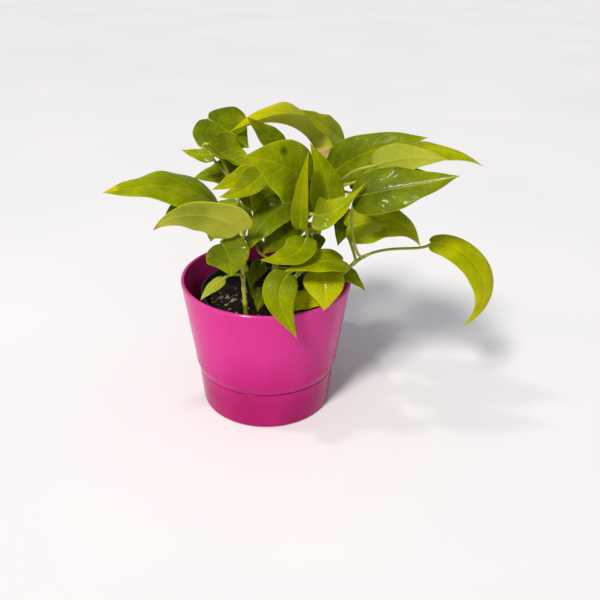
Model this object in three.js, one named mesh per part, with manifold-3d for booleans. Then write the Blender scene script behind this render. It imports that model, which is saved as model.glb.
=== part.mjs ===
// Potted pothos in a glazed cachepot. Millimetres, +Z up.
// Origin: centre of the cachepot's flat underside. +X right, +Y away from the front.
import * as THREE from 'three';
import { ParametricGeometry } from 'three/addons/geometries/ParametricGeometry.js';
import { mergeVertices } from 'three/addons/utils/BufferGeometryUtils.js';
import Module from 'manifold-3d';

const wasm = await Module();
wasm.setup();

// ---- Cachepot: tapered wall, soft shoulder, crease and a narrower foot ----
const RIM_RADIUS = 70;
const RIM_HEIGHT = 114;
const RIM_THICKNESS = 2.9;
const SHOULDER_RADIUS = 60.8;
const SHOULDER_HEIGHT = 46;
const CREASE_RADIUS = 58.5;
const CREASE_HEIGHT = 35;
const CREASE_UNDERCUT = 0.3;
const CREASE_UNDERCUT_DEPTH = 0.6;
const CREASE_FLARE = 1.3;
const CREASE_FLARE_HEIGHT = 2.6;
const SHOULDER_EASE = 0.4;
const SHOULDER_EASE_DEPTH = 4.5;
const SHOULDER_TURN = 0.2;
const SHOULDER_TURN_HEIGHT = 1.5;
const BASE_RADIUS = 55.1;
const FOOT_ROUNDING = 2.7;
const FOOT_BEVEL = 0.8;
const RIM_EASE = 0.2;
const RIM_EASE_DEPTH = 2.4;
const RIM_BEVEL = 0.7;
const RIM_BEVEL_DEPTH = 1;
const FLOOR_HEIGHT = 4;
const FLOOR_RADIUS = 52;
const FLOOR_BEVEL = 3;
const LATHE_SEGMENTS = 60;

// ---- Nursery pot standing loose inside, and its soil ----
const NURSERY_OFFSET_X = 3;
const NURSERY_RIM_RADIUS = 57;
const NURSERY_RIM_HEIGHT = 102;
const NURSERY_RIM_DEPTH = 7;
const NURSERY_LIP = 1.6;
const NURSERY_BASE_RADIUS = 44;
const NURSERY_WALL = 1.2;
const NURSERY_STEP = 1;
const NURSERY_STEP_HEIGHT = 1.5;
const NURSERY_BAND_TAPER = 0.4;
const NURSERY_RIM_BEVEL = 0.5;
const GAP = 0.3;
const SOIL_HEIGHT = 90;
const SOIL_CROWN = 2.5;
const SOIL_CROWN_RADIUS_SHARE = 0.5;
const SOIL_CROWN_HEIGHT_SHARE = 0.7;
const STEM_ROOT_HEIGHT = 78;

// ---- Stems and petioles ----
const STEM_RADIUS = 2.2;
const STEM_SIDES = 8;
const STEM_STEPS = 10;
const PETIOLE_RADIUS = 1.1;
const PETIOLE_SIDES = 5;
const PETIOLE_STEPS = 7;
const PETIOLE_LIFT = 0.4;
const PETIOLE_BACK = 0.7;
const PETIOLE_BELOW = 0.75;
const PETIOLE_ARRIVAL_LEAN = 0.9;
const PETIOLE_START_PULL = 0.4;
const PETIOLE_END_PULL = 0.3;

// ---- Leaf blades ----
const BLADE_THICKNESS = 0.9;
const BLADE_STEPS = 9;
const TWISTED_BLADE_STEPS = 24;
const BLADE_COLUMNS = 4;
const BLADE_FOLD = 15;
const BLADE_CURL = 25;
const BLADE_LOBE = 0.1;
const BLADE_SHOULDER = 0.25;
const BLADE_BASE = 0.45;
const BLADE_END_TAPER = 6;
const STATION_CROWDING = 1.3;
const TIP_DRAW = 1.55;
const TIP_SHARPNESS = 1.15;
const LOBE_LENGTH_SHARE = 0.4;
const LOBE_PEAK = 0.75;

const MAGENTA_GLAZE = { color: 0xd8438a, roughness: 0.28, metalness: 0 };
const DARK_GREEN_PLASTIC = { color: 0x14332a, roughness: 0.45, metalness: 0 };
const POTTING_SOIL = { color: 0x2c2018, roughness: 1, metalness: 0 };
const STEM_GREEN = { color: 0x8a9a2c, roughness: 0.5, metalness: 0 };
const LEAF_GREEN = { color: 0x86900c, roughness: 0.4, metalness: 0 };
const DRY_BRACT = { color: 0xc0a46a, roughness: 0.85, metalness: 0 };

// Each stem is named, then passes through these points from root to top.
const STEMS = {
  front_left: [[-15, -42, 78], [-16, -44, 104], [-18, -41, 142], [-16, -34, 168]],
  left: [[-8, 4, 78], [-16, 2, 116], [-23, -4, 154], [-20, -8, 186]],
  centre: [[2, -14, 78], [6, -14, 125], [14, -8, 170], [24, 4, 206]],
  right: [[30, 2, 78], [36, 2, 120], [44, 4, 158], [50, 9, 184]],
  right_low: [[26, -26, 78], [40, -33, 106], [56, -35, 130], [73, -36, 147]],
  front: [[8, -32, 78], [10, -34, 104], [20, -38, 128], [34, -40, 146]],
  back: [[4, 26, 78], [8, 28, 104], [9, 28, 126], [10, 26, 144]],
};

// Each leaf: width across, the way its upper face looks, fold along the midrib and droop of the
// margins in degrees, midrib points from base to tip, and where on which stem its petiole starts.
const LEAVES = [
  { name: 'far_left', width: 46, face: [0, -0.35, 1], curl: 35,
    rib: [[-40, -11, 180], [-63, -23, 196], [-90, -35, 201], [-115, -45, 200]],
    stem: 'left', at: 0.9 },
  { name: 'front_left', width: 34, face: [0.1, 0.85, 0.25], fold: 6, curl: 22, lobe: 0.02,
    rib: [[-18, -56, 176], [-34, -61, 188], [-56, -67, 192], [-78, -70, 183]],
    stem: 'front_left', at: 1 },
  { name: 'upper_left', width: 48, face: [0.1, -0.6, 0.8], fold: 5, curl: 15, shoulder: 0.4,
    base: 0.4, lobe: 0.1,
    rib: [[-44, 21, 236], [-30, 11, 230], [-13, 3, 219]],
    stem: 'left', at: 1, lift: -0.4, side: 0.5 },
  { name: 'left_mid', width: 36, face: [0.5, -0.55, 1], fold: 40, curl: 10, lobe: 0.02,
    rib: [[-42, -9, 225], [-25, -12, 214], [-8, -14, 210]],
    stem: 'left', at: 1, lift: 0.8, side: -0.5 },
  { name: 'left_small', width: 12, face: [0, -0.7, 0.7], fold: 5, curl: 20, lobe: 0.02,
    rib: [[-38, -18, 220], [-49, -17, 220], [-62, -16, 223]],
    stem: 'left', at: 1, lift: -0.4, side: 0 },
  { name: 'top_centre', width: 52, face: [0.05, -0.1, 1], fold: 46, curl: 8, lobe: 0.05,
    rib: [[42, 50, 203], [29, 42, 221], [6, 22, 234], [-28, 2, 231]],
    stem: 'centre', at: 1 },
  { name: 'top_right', width: 28, face: [0.45, -0.6, 0.7], curl: 20, base: 0.35,
    rib: [[61, 34, 217], [45, 17, 232], [24, -2, 250]],
    stem: 'right', at: 1 },
  { name: 'centre_front', width: 45, face: [0.1, -0.8, 0.55], fold: 5, curl: 25,
    rib: [[27, -54, 213], [9, -66, 228], [-15, -75, 236]],
    stem: 'centre', at: 0.9, lift: 0, side: 1 },
  { name: 'centre_edge', width: 14, face: [-0.3, -0.85, 0.4], fold: 25, curl: 10, base: 0.5,
    rib: [[24, -56, 179], [24, -68, 208], [27, -78, 241]],
    stem: 'centre', at: 0.7, lift: 1.4, side: 0 },
  { name: 'centre_back', width: 27, face: [0.1, -0.85, 0.4], fold: 10, curl: 30, shoulder: 0.3,
    base: 0.5,
    rib: [[45, -32, 181], [43, -26, 204], [31, -20, 230]],
    stem: 'right', at: 0.8 },
  { name: 'right_upper', width: 35, face: [-0.1, -0.75, 0.65], curl: 30,
    rib: [[50, 5, 198], [69, 1, 214], [94, -3, 225], [120, -7, 231]],
    stem: 'right', at: 1 },
  { name: 'right_long', width: 34, face: [0, -0.35, 1], curl: 50,
    rib: [[73, -19, 208], [99, -29, 225], [124, -37, 230], [153, -45, 221]],
    stem: 'right', at: 1, lift: 0.4, side: 1 },
  { name: 'right_pale', width: 24, face: [0, 0.75, -0.6], fold: 10, curl: 20,
    rib: [[77, -41, 220], [100, -45, 227], [126, -49, 227]],
    stem: 'right', at: 0.9 },
  { name: 'right_glossy', width: 37, face: [0, -0.6, 0.75], curl: 25,
    rib: [[63, -57, 203], [84, -63, 210], [107, -67, 216], [129, -71, 223]],
    stem: 'right_low', at: 1, lift: -0.8 },
  { name: 'right_behind', width: 22, face: [0.1, -0.5, 0.8], curl: 20,
    rib: [[67, -9, 191], [96, -11, 205], [131, -13, 202]],
    stem: 'right', at: 1 },
  { name: 'right_lower', width: 36, face: [0.1, -0.6, 0.75], curl: 30,
    rib: [[62, -29, 168], [82, -35, 176], [100, -39, 174], [115, -41, 158]],
    stem: 'right_low', at: 0.9 },
  { name: 'folded_v', width: 24, face: [-0.1, -0.85, 0.45], tipFace: [0, 0.15, 1], fold: 10,
    curl: -10, shoulder: 0.15, base: 0.6, lobe: 0, steps: TWISTED_BLADE_STEPS,
    rib: [[32, -68, 194], [49, -66, 197], [68, -60, 215]],
    stem: 'front', at: 0.9, lift: 0.4, side: -0.5 },
  { name: 'shaded_mid', width: 40, face: [-0.2, -0.7, 0.6], curl: 20,
    rib: [[10, -3, 194], [0, -9, 186], [-10, -15, 169]],
    stem: 'centre', at: 0.8 },
  { name: 'low_left', width: 28, face: [-0.5, -0.7, 0.5], fold: 10, curl: 20,
    rib: [[16, -28, 189], [-3, -40, 175], [-15, -50, 156]],
    stem: 'centre', at: 0.9 },
  { name: 'low_mid', width: 30, face: [0.2, -0.8, 0.5], curl: 20,
    rib: [[14, -32, 177], [8, -38, 165], [-3, -43, 152]],
    stem: 'centre', at: 0.7 },
  { name: 'front_fold', width: 24, face: [-0.1, -0.6, 0.8], fold: 20, curl: 10,
    rib: [[28, -53, 168], [17, -63, 160], [-5, -69, 160]],
    stem: 'front', at: 0.9 },
  { name: 'front_flat', width: 25, face: [0, -0.4, 0.9], curl: 20,
    rib: [[56, -49, 150], [36, -61, 154], [12, -70, 151]],
    stem: 'right_low', at: 0.8 },
  { name: 'over_rim', width: 25, face: [-0.1, -0.8, 0.5], curl: 30,
    rib: [[15, -66, 147], [9, -76, 136], [13, -81, 122], [22, -82, 103]],
    stem: 'front', at: 0.9 },
  { name: 'yellow_glossy', width: 32, face: [0.1, -0.6, 0.7], curl: 30,
    rib: [[41, -50, 141], [43, -60, 130], [42, -66, 117]],
    stem: 'front', at: 0.8 },
  { name: 'at_rim', width: 19, face: [0.1, -0.5, 0.8],
    rib: [[19, -44, 114], [31, -50, 116], [42, -54, 115]],
    stem: 'front', at: 0.4 },
  { name: 'right_of_rim', width: 17, face: [0.3, -0.5, 0.8],
    rib: [[57, -16, 125], [68, -20, 122], [79, -24, 111]],
    stem: 'right_low', at: 0.3 },
  { name: 'far_right', width: 25, face: [0.1, -0.6, 0.8], tipFace: [0.45, -0.85, 0.25],
    fold: 10, curl: 30, shoulder: 0.5, base: 0.4, lobe: 0.08,
    rib: [[127, -26, 154], [153, -34, 147], [170, -38, 120], [156, -36, 84]],
    stem: 'right_low', at: 1 },
  { name: 'small_round', width: 33, face: [-0.1, -0.8, 0.55], fold: 18, curl: 10,
    shoulder: 0.45, base: 0.6, lobe: 0.06,
    rib: [[-32, -50, 164], [-27, -56, 155], [-26, -61, 143]],
    stem: 'front_left', at: 0.9 },
  { name: 'tiny_pale', width: 10, face: [0.2, 0.6, -0.8],
    rib: [[-32, -50, 135], [-42, -54, 129], [-49, -57, 121]],
    stem: 'front_left', at: 0.6 },
  { name: 'behind_left', width: 16, face: [-0.2, -0.7, 0.7],
    rib: [[-34, -22, 164], [-40, -25, 162], [-42, -27, 155]],
    stem: 'left', at: 0.7 },
  { name: 'dark_left', width: 26, face: [0, -0.6, 0.8], curl: 20, lobe: 0.02,
    rib: [[-20, 2, 201], [-37, 4, 199], [-57, 6, 194]],
    stem: 'left', at: 1 },
  { name: 'rolled_one', width: 20, face: [0, -0.6, 0.8], fold: 30, curl: 5, lobe: 0.02,
    rib: [[-6, -26, 208], [-22, -29, 203], [-40, -32, 198]],
    stem: 'left', at: 1 },
  { name: 'rolled_two', width: 22, face: [0, -0.6, 0.8], fold: 25, curl: 5, lobe: 0.02,
    rib: [[-2, -36, 214], [-16, -42, 202], [-34, -44, 197]],
    stem: 'left', at: 1 },
  { name: 'dark_fold', width: 20, face: [0.5, -0.8, 0.5], fold: 20, curl: 10, lobe: 0.02,
    rib: [[11, -10, 222], [-2, -12, 234], [-14, -15, 247]],
    stem: 'centre', at: 1 },
  { name: 'at_soil', width: 13, face: [0, -0.7, 0.7],
    rib: [[-2, -38, 120], [-5, -41, 113], [-7, -44, 104]],
    stem: 'front', at: 0.5 },
  { name: 'inner_left', width: 13, face: [0, -0.8, 0.6],
    rib: [[-4, -30, 139], [-8, -33, 132], [-11, -36, 123]],
    stem: 'centre', at: 0.4 },
  { name: 'hanging_tip', width: 7, face: [0.3, -0.7, 0.6],
    rib: [[-63, -6, 182], [-71, -8, 176], [-79, -10, 167]],
    stem: 'left', at: 0.8, lift: 0 },
  { name: 'inner_right', width: 20, face: [0.2, -0.8, 0.5],
    rib: [[64, -13, 173], [59, -17, 163], [55, -21, 149]],
    stem: 'right', at: 0.8 },
  { name: 'inner_mid', width: 20, face: [0, -0.8, 0.6],
    rib: [[34, -34, 163], [35, -38, 156], [38, -42, 150]],
    stem: 'front', at: 1 },
  { name: 'inner_dark', width: 30, face: [0, -0.8, 0.6],
    rib: [[27, 22, 174], [24, 18, 160], [19, 14, 145]],
    stem: 'back', at: 1, lift: -0.4, side: 1 },
  { name: 'back_low', width: 38, face: [0, 0.4, 0.9], curl: 25,
    rib: [[6, 39, 156], [10, 71, 163], [2, 105, 140]],
    stem: 'back', at: 0.9 },
  { name: 'back_left', width: 34, face: [-0.2, 0.3, 0.9], curl: 25,
    rib: [[-20, 43, 145], [-43, 68, 151], [-60, 91, 131]],
    stem: 'back', at: 0.8 },
  { name: 'back_right', width: 36, face: [0.2, 0.3, 0.9], curl: 25,
    rib: [[30, 35, 167], [46, 61, 174], [57, 87, 152]],
    stem: 'back', at: 1, lift: -0.4 },
  { name: 'back_inner', width: 30, face: [-0.1, 0.1, 1], curl: 25,
    rib: [[-4, 22, 164], [-16, 38, 176], [-30, 58, 174]],
    stem: 'back', at: 1, lift: -0.4 },
  { name: 'back_hanging', width: 28, face: [0.2, 0.6, 0.6], curl: 25,
    rib: [[34, 62, 132], [42, 84, 124], [44, 96, 96]],
    stem: 'back', at: 0.6 },
  { name: 'back_upper', width: 32, face: [-0.1, 0.25, 1],
    rib: [[22, 26, 190], [12, 46, 202], [-4, 68, 196]],
    stem: 'centre', at: 1 },
  { name: 'back_side', width: 30, face: [-0.3, 0.1, 1],
    rib: [[-24, 14, 148], [-40, 28, 156], [-54, 44, 148]],
    stem: 'left', at: 0.5 },
  { name: 'back_small', width: 18, face: [0, 0.4, 0.9], curl: 25,
    rib: [[-8, 44, 120], [-14, 58, 122], [-24, 72, 118]],
    stem: 'back', at: 0.4 },
];

// The dry tan bract caught beside the top leaf: three corners, front side.
const BRACT_CORNERS = [[50.4, 12, 217.9], [37.3, 11, 216.5], [45.3, 10, 205.8]];
const BRACT_THICKNESS = 0.9;

// A smooth curve that passes through evenly spaced points.
class ThroughCurve extends THREE.Curve {
  constructor(points) {
    super();
    this.points = points.map((p) => new THREE.Vector3(...p));
  }

  getPoint(t, target = new THREE.Vector3()) {
    const last = this.points.length - 1;
    target.set(0, 0, 0);
    this.points.forEach((point, i) => {
      let weight = 1;
      for (let j = 0; j <= last; j += 1) {
        if (j !== i) weight *= (t * last - j) / (i - j);
      }
      target.addScaledVector(point, weight);
    });
    return target;
  }
}

// Keeps only positions, joins shared corners and drops collapsed triangles.
function closed(geometry) {
  const bare = geometry.clone();
  bare.deleteAttribute('normal');
  bare.deleteAttribute('uv');
  const merged = mergeVertices(bare, 1e-3);
  const kept = [];
  const index = merged.index.array;
  for (let i = 0; i < index.length; i += 3) {
    const [a, b, c] = [index[i], index[i + 1], index[i + 2]];
    if (a !== b && b !== c && c !== a) kept.push(a, b, c);
  }
  merged.setIndex(kept);
  return merged;
}

function toSolid(geometry) {
  const shape = closed(geometry);
  return new wasm.Manifold(new wasm.Mesh({
    numProp: 3,
    vertProperties: new Float32Array(shape.attributes.position.array),
    triVerts: new Uint32Array(shape.index.array),
  }));
}

function toGeometry(solid) {
  const mesh = solid.getMesh();
  const geometry = new THREE.BufferGeometry();
  geometry.setAttribute('position', new THREE.BufferAttribute(mesh.vertProperties, 3));
  geometry.setIndex(new THREE.BufferAttribute(mesh.triVerts, 1));
  return geometry;
}

function regularPolygon(radius, sides) {
  const corners = [];
  for (let i = 0; i < sides; i += 1) {
    const angle = (2 * Math.PI * i) / sides;
    corners.push(new THREE.Vector2(radius * Math.cos(angle), radius * Math.sin(angle)));
  }
  return new THREE.Shape(corners);
}

function tube(curve, radius, sides, steps) {
  return new THREE.ExtrudeGeometry(regularPolygon(radius, sides), {
    extrudePath: curve, steps, bevelEnabled: false,
  });
}

function lathe(profile) {
  const points = profile.map(([r, z]) => new THREE.Vector2(r, z));
  const geometry = new THREE.LatheGeometry(points, LATHE_SEGMENTS);
  geometry.rotateX(Math.PI / 2);
  return geometry;
}

function addMesh(parent, name, geometry, material) {
  const mesh = new THREE.Mesh(geometry, new THREE.MeshStandardMaterial(material));
  mesh.name = name;
  parent.add(mesh);
  return mesh;
}

// ---- Cachepot ----
function cachepotProfile() {
  const outer = [
    [0, 0],
    [BASE_RADIUS - FOOT_ROUNDING, 0],
    [BASE_RADIUS - FOOT_BEVEL, FOOT_BEVEL],
    [BASE_RADIUS, FOOT_ROUNDING],
    [CREASE_RADIUS - CREASE_UNDERCUT, CREASE_HEIGHT - CREASE_UNDERCUT_DEPTH],
    [CREASE_RADIUS, CREASE_HEIGHT],
    [CREASE_RADIUS + CREASE_FLARE, CREASE_HEIGHT + CREASE_FLARE_HEIGHT],
    [SHOULDER_RADIUS - SHOULDER_EASE, SHOULDER_HEIGHT - SHOULDER_EASE_DEPTH],
    [SHOULDER_RADIUS + SHOULDER_TURN, SHOULDER_HEIGHT + SHOULDER_TURN_HEIGHT],
    [RIM_RADIUS - RIM_EASE, RIM_HEIGHT - RIM_EASE_DEPTH],
    [RIM_RADIUS, RIM_HEIGHT - RIM_BEVEL_DEPTH],
    [RIM_RADIUS - RIM_BEVEL, RIM_HEIGHT],
  ];
  const inner = [
    [RIM_RADIUS - RIM_THICKNESS + RIM_BEVEL, RIM_HEIGHT],
    [RIM_RADIUS - RIM_THICKNESS, RIM_HEIGHT - RIM_BEVEL_DEPTH],
    [FLOOR_RADIUS, FLOOR_HEIGHT + FLOOR_BEVEL],
    [FLOOR_RADIUS - FLOOR_BEVEL, FLOOR_HEIGHT],
    [0, FLOOR_HEIGHT],
  ];
  return [...outer, ...inner];
}

// ---- Nursery pot: stepped rim band, thin straight wall ----
function nurseryPotProfile() {
  const bottom = FLOOR_HEIGHT + GAP;
  const band = NURSERY_RIM_RADIUS - NURSERY_LIP;
  const bandFoot = NURSERY_RIM_HEIGHT - NURSERY_RIM_DEPTH;
  return [
    [0, bottom],
    [NURSERY_BASE_RADIUS, bottom],
    [band - NURSERY_STEP, bandFoot - NURSERY_STEP_HEIGHT],
    [NURSERY_RIM_RADIUS - NURSERY_BAND_TAPER, bandFoot],
    [NURSERY_RIM_RADIUS, NURSERY_RIM_HEIGHT - NURSERY_RIM_BEVEL],
    [NURSERY_RIM_RADIUS - NURSERY_RIM_BEVEL, NURSERY_RIM_HEIGHT],
    [NURSERY_RIM_RADIUS - NURSERY_WALL, NURSERY_RIM_HEIGHT - NURSERY_RIM_BEVEL],
    [band - NURSERY_WALL - NURSERY_STEP, bandFoot - NURSERY_STEP_HEIGHT],
    [NURSERY_BASE_RADIUS - NURSERY_WALL, bottom + NURSERY_WALL],
    [0, bottom + NURSERY_WALL],
  ];
}

// Radius of the nursery pot's inner wall at a height.
function nurseryInnerRadius(z) {
  const low = [NURSERY_BASE_RADIUS - NURSERY_WALL, FLOOR_HEIGHT + GAP + NURSERY_WALL];
  const high = [
    NURSERY_RIM_RADIUS - NURSERY_LIP - NURSERY_WALL - NURSERY_STEP,
    NURSERY_RIM_HEIGHT - NURSERY_RIM_DEPTH - NURSERY_STEP_HEIGHT,
  ];
  return low[0] + ((high[0] - low[0]) * (z - low[1])) / (high[1] - low[1]);
}

function soilProfile() {
  const bottom = FLOOR_HEIGHT + 2 * GAP + NURSERY_WALL;
  const edge = nurseryInnerRadius(SOIL_HEIGHT) - GAP;
  return [
    [0, bottom],
    [nurseryInnerRadius(bottom) - GAP, bottom],
    [edge, SOIL_HEIGHT],
    [edge * SOIL_CROWN_RADIUS_SHARE, SOIL_HEIGHT + SOIL_CROWN * SOIL_CROWN_HEIGHT_SHARE],
    [0, SOIL_HEIGHT + SOIL_CROWN],
  ];
}

function stemCurve(name) {
  return new ThroughCurve(STEMS[name]);
}

// Hole in the soil that a stem's root end stands in.
function stemSocket(name) {
  const points = STEMS[name].map(([x, y, z]) => [x, y, z]);
  points[0][2] = STEM_ROOT_HEIGHT - 2 * GAP;
  return toSolid(tube(new ThroughCurve(points), STEM_RADIUS + 2 * GAP, STEM_SIDES, STEM_STEPS));
}

// ---- Leaf blades ----
// Half width along the midrib, as a share of the greatest: full shoulder, then a drawn-out tip.
function outline(leaf, u) {
  const { shoulder = BLADE_SHOULDER, base = BLADE_BASE } = leaf;
  if (u < shoulder) return base + (1 - base) * Math.sqrt(1 - (1 - u / shoulder) ** 2);
  const t = (u - shoulder) / (1 - shoulder);
  return Math.max(0, 1 - t ** TIP_DRAW) ** TIP_SHARPNESS;
}

// Midrib frame: along the rib, across the blade and out of the upper face.
function ribFrame(leaf, u) {
  const curve = new ThroughCurve(leaf.rib);
  const step = 1e-3;
  const along = curve.getPoint(u + step).sub(curve.getPoint(u - step)).normalize();
  const face = new THREE.Vector3(...leaf.face).normalize();
  if (leaf.tipFace) face.lerp(new THREE.Vector3(...leaf.tipFace).normalize(), u).normalize();
  const across = new THREE.Vector3().crossVectors(along, face).normalize();
  const out = new THREE.Vector3().crossVectors(across, along);
  return { point: curve.getPoint(u), along, across, out };
}

// Point on the blade: u from base to tip, side from -1 to 1, lift off the middle surface.
function bladePoint(leaf, u, side, lift, target) {
  const { fold = BLADE_FOLD, curl = BLADE_CURL, lobe = BLADE_LOBE } = leaf;
  const frame = ribFrame(leaf, u);
  const foldAngle = THREE.MathUtils.degToRad(fold);
  const curlAngle = THREE.MathUtils.degToRad(curl);
  const share = Math.abs(side);
  const half = (leaf.width / 2) * outline(leaf, u);
  const outward = (Math.sin(foldAngle) - Math.sin(foldAngle - curlAngle * share)) / curlAngle;
  const upward = (Math.cos(foldAngle - curlAngle * share) - Math.cos(foldAngle)) / curlAngle;
  const lobeFade = Math.max(0, 1 - u / LOBE_LENGTH_SHARE) ** 2;
  const back = lobe * leaf.width * Math.sin(LOBE_PEAK * Math.PI * share) * lobeFade;
  return target.copy(frame.point)
    .addScaledVector(frame.across, Math.sign(side) * outward * half)
    .addScaledVector(frame.out, upward * half + lift)
    .addScaledVector(frame.along, -back);
}

// A thin closed blade: the section runs over the upper face and back under the lower one.
function bladeGeometry(leaf) {
  const section = (v, s, target) => {
    const u = s ** STATION_CROWDING;
    const upper = v <= 0.5;
    const side = upper ? 4 * v - 1 : 3 - 4 * v;
    const taper = Math.min(1, BLADE_END_TAPER * s) * Math.min(1, BLADE_END_TAPER * (1 - s));
    const thickness = (BLADE_THICKNESS / 2) * (1 - side * side) * taper;
    bladePoint(leaf, u, side, upper ? thickness : -thickness, target);
  };
  const steps = leaf.steps ?? BLADE_STEPS;
  return closed(new ParametricGeometry(section, 2 * BLADE_COLUMNS, steps));
}

// ---- Petioles: from a stem up to just behind and below the blade's base ----
function petioleCurve(leaf) {
  const start = stemCurve(leaf.stem).getPoint(leaf.at);
  const base = ribFrame(leaf, 0);
  const end = base.point.clone()
    .addScaledVector(base.along, -PETIOLE_BACK)
    .addScaledVector(base.out, -PETIOLE_BELOW);
  const arrival = base.along.clone().addScaledVector(base.out, PETIOLE_ARRIVAL_LEAN).normalize();
  const span = end.distanceTo(start);
  const toward = end.clone().sub(start).normalize();
  const sideways = new THREE.Vector3().crossVectors(toward, new THREE.Vector3(0, 0, 1)).normalize();
  const departure = toward.clone()
    .addScaledVector(sideways, leaf.side ?? 0);
  departure.z += leaf.lift ?? PETIOLE_LIFT;
  departure.normalize();
  return new THREE.CubicBezierCurve3(
    start,
    start.clone().addScaledVector(departure, span * PETIOLE_START_PULL),
    end.clone().addScaledVector(arrival, -span * PETIOLE_END_PULL),
    end,
  );
}

// One rooted vine: its stem and every petiole that grows from it, as one body.
function vineGeometry(name) {
  let vine = toSolid(tube(stemCurve(name), STEM_RADIUS, STEM_SIDES, STEM_STEPS));
  LEAVES.filter((leaf) => leaf.stem === name).forEach((leaf) => {
    const petiole = tube(petioleCurve(leaf), PETIOLE_RADIUS, PETIOLE_SIDES, PETIOLE_STEPS);
    vine = vine.add(toSolid(petiole));
  });
  return toGeometry(vine);
}

function bractGeometry() {
  const [a, b, c] = BRACT_CORNERS.map((p) => new THREE.Vector3(...p));
  const across = b.clone().sub(a);
  const normal = across.clone().cross(c.clone().sub(a)).normalize();
  const xAxis = across.normalize();
  const yAxis = normal.clone().cross(xAxis);
  const flat = [a, b, c].map((p) => {
    const d = p.clone().sub(a);
    return new THREE.Vector2(d.dot(xAxis), d.dot(yAxis));
  });
  const geometry = new THREE.ExtrudeGeometry(new THREE.Shape(flat), {
    depth: BRACT_THICKNESS, bevelEnabled: false,
  });
  const frame = new THREE.Matrix4().makeBasis(xAxis, yAxis, normal).setPosition(a);
  return geometry.applyMatrix4(frame);
}

const group = new THREE.Group();

addMesh(group, 'cachepot', lathe(cachepotProfile()), MAGENTA_GLAZE);

const nurseryPot = addMesh(group, 'nursery_pot', lathe(nurseryPotProfile()), DARK_GREEN_PLASTIC);
nurseryPot.position.x = NURSERY_OFFSET_X;

const soilBody = lathe(soilProfile());
soilBody.translate(NURSERY_OFFSET_X, 0, 0);
let soil = toSolid(soilBody);
Object.keys(STEMS).forEach((name) => {
  soil = soil.subtract(stemSocket(name));
});
addMesh(group, 'potting_soil', toGeometry(soil), POTTING_SOIL);

Object.keys(STEMS).forEach((name) => {
  addMesh(group, `vine_${name}`, vineGeometry(name), STEM_GREEN);
});

LEAVES.forEach((leaf) => {
  addMesh(group, `leaf_${leaf.name}`, bladeGeometry(leaf), LEAF_GREEN);
});

addMesh(group, 'dry_bract', bractGeometry(), DRY_BRACT);

export default group;
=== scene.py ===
"""Potted pothos in a glazed cachepot. Tables are in millimetres, the scene is in metres."""
import math

import bmesh
import bpy
import numpy as np
from mathutils import Matrix, Vector, noise


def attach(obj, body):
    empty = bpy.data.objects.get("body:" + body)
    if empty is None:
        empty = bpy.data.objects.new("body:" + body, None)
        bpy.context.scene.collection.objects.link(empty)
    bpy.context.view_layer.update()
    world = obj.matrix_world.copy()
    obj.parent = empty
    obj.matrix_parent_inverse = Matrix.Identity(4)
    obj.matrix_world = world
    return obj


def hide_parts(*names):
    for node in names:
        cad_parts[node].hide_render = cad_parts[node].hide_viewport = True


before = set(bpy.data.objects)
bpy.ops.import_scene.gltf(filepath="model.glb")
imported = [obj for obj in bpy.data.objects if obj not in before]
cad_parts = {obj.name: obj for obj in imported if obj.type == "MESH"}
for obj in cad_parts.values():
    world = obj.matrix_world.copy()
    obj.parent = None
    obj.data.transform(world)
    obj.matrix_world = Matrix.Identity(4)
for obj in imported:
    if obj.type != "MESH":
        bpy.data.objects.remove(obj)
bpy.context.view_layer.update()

MM = 0.001
chance = np.random.default_rng(5)

# ---- Profiles turned round the upright axis: radius, height, rounding of the corner ----
CACHEPOT = [
    (0, 0.9, 0), (49.5, 0.9, 0.5), (50.3, 0, 0.3), (55.1, 0, 2.4),
    (58.2, 34.3, 0.4), (57.3, 35.0, 0.25), (58.8, 35.7, 0.5), (60.5, 41.5, 6), (61.2, 49, 8),
    (70, 114, 1.35), (67.1, 114, 1.35), (52.3, 8, 3), (48, 4, 2.5), (0, 4, 0),
]
NURSERY_POT = [
    (0, 4.3, 0), (44, 4.3, 1.5), (54.4, 93.5, 0.4), (56.6, 95, 0.5), (57, 102, 0.5),
    (55.8, 102, 0.4), (55.2, 95.5, 0.6), (53.2, 93.5, 0.6), (42.8, 5.5, 1), (0, 5.5, 0),
]
COMPOST = [(0, 5.8, 0), (42.5, 5.8, 1), (52.4, 90, 1.2), (26, 91.6, 20), (0, 92, 0)]
CREASE_HEIGHT = 35.0
CREASE_INNER_RADIUS = 55
POOLED_GLAZE = 0.55  # Half the height of the line where the glaze pooled.
NURSERY_OFFSET = 3
COMPOST_TOP = 88
COMPOST_LUMPS = 1.5
COMPOST_RADIUS = 52
COMPOST_FALL = 1.6  # From the middle of the compost to its edge.
CRUMB_LIFT = 0.25  # How far a crumb's middle lies above the compost, as a share of its radius.

# ---- Stems, petioles and blades ----
STEM_RADIUS = 1.95
STEM_TAPER = 0.3
STEM_GROOVE = 0.06
STEM_STATIONS = 90
STEM_SIDES = 20
STEM_NODES = (0.12, 0.37, 0.5)  # Bare nodes, as shares of a stem's length.
NODE_SWELLING = 0.35
NODE_LENGTH = 1.5
NUB_RADII = (0.75, 0.7, 0.6, 0.45, 0.2)
NUB_REACH = (1.2, 3.6)
NUB_SIDES = 8
PETIOLE_RADIUS = 1.15
PETIOLE_GROOVE = 0.3
PETIOLE_STATIONS = 26
PETIOLE_SIDES = 12
PETIOLE_LIFT = 0.4
PETIOLE_BACK = 0.7  # Where a petiole ends, behind the blade's base ...
PETIOLE_BELOW = 0.75  # ... and below it.
RIB_RUN = 0.22  # How far it then runs on under the midrib, as a share of the blade's length.
RIB_SUNK = 0.45

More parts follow.
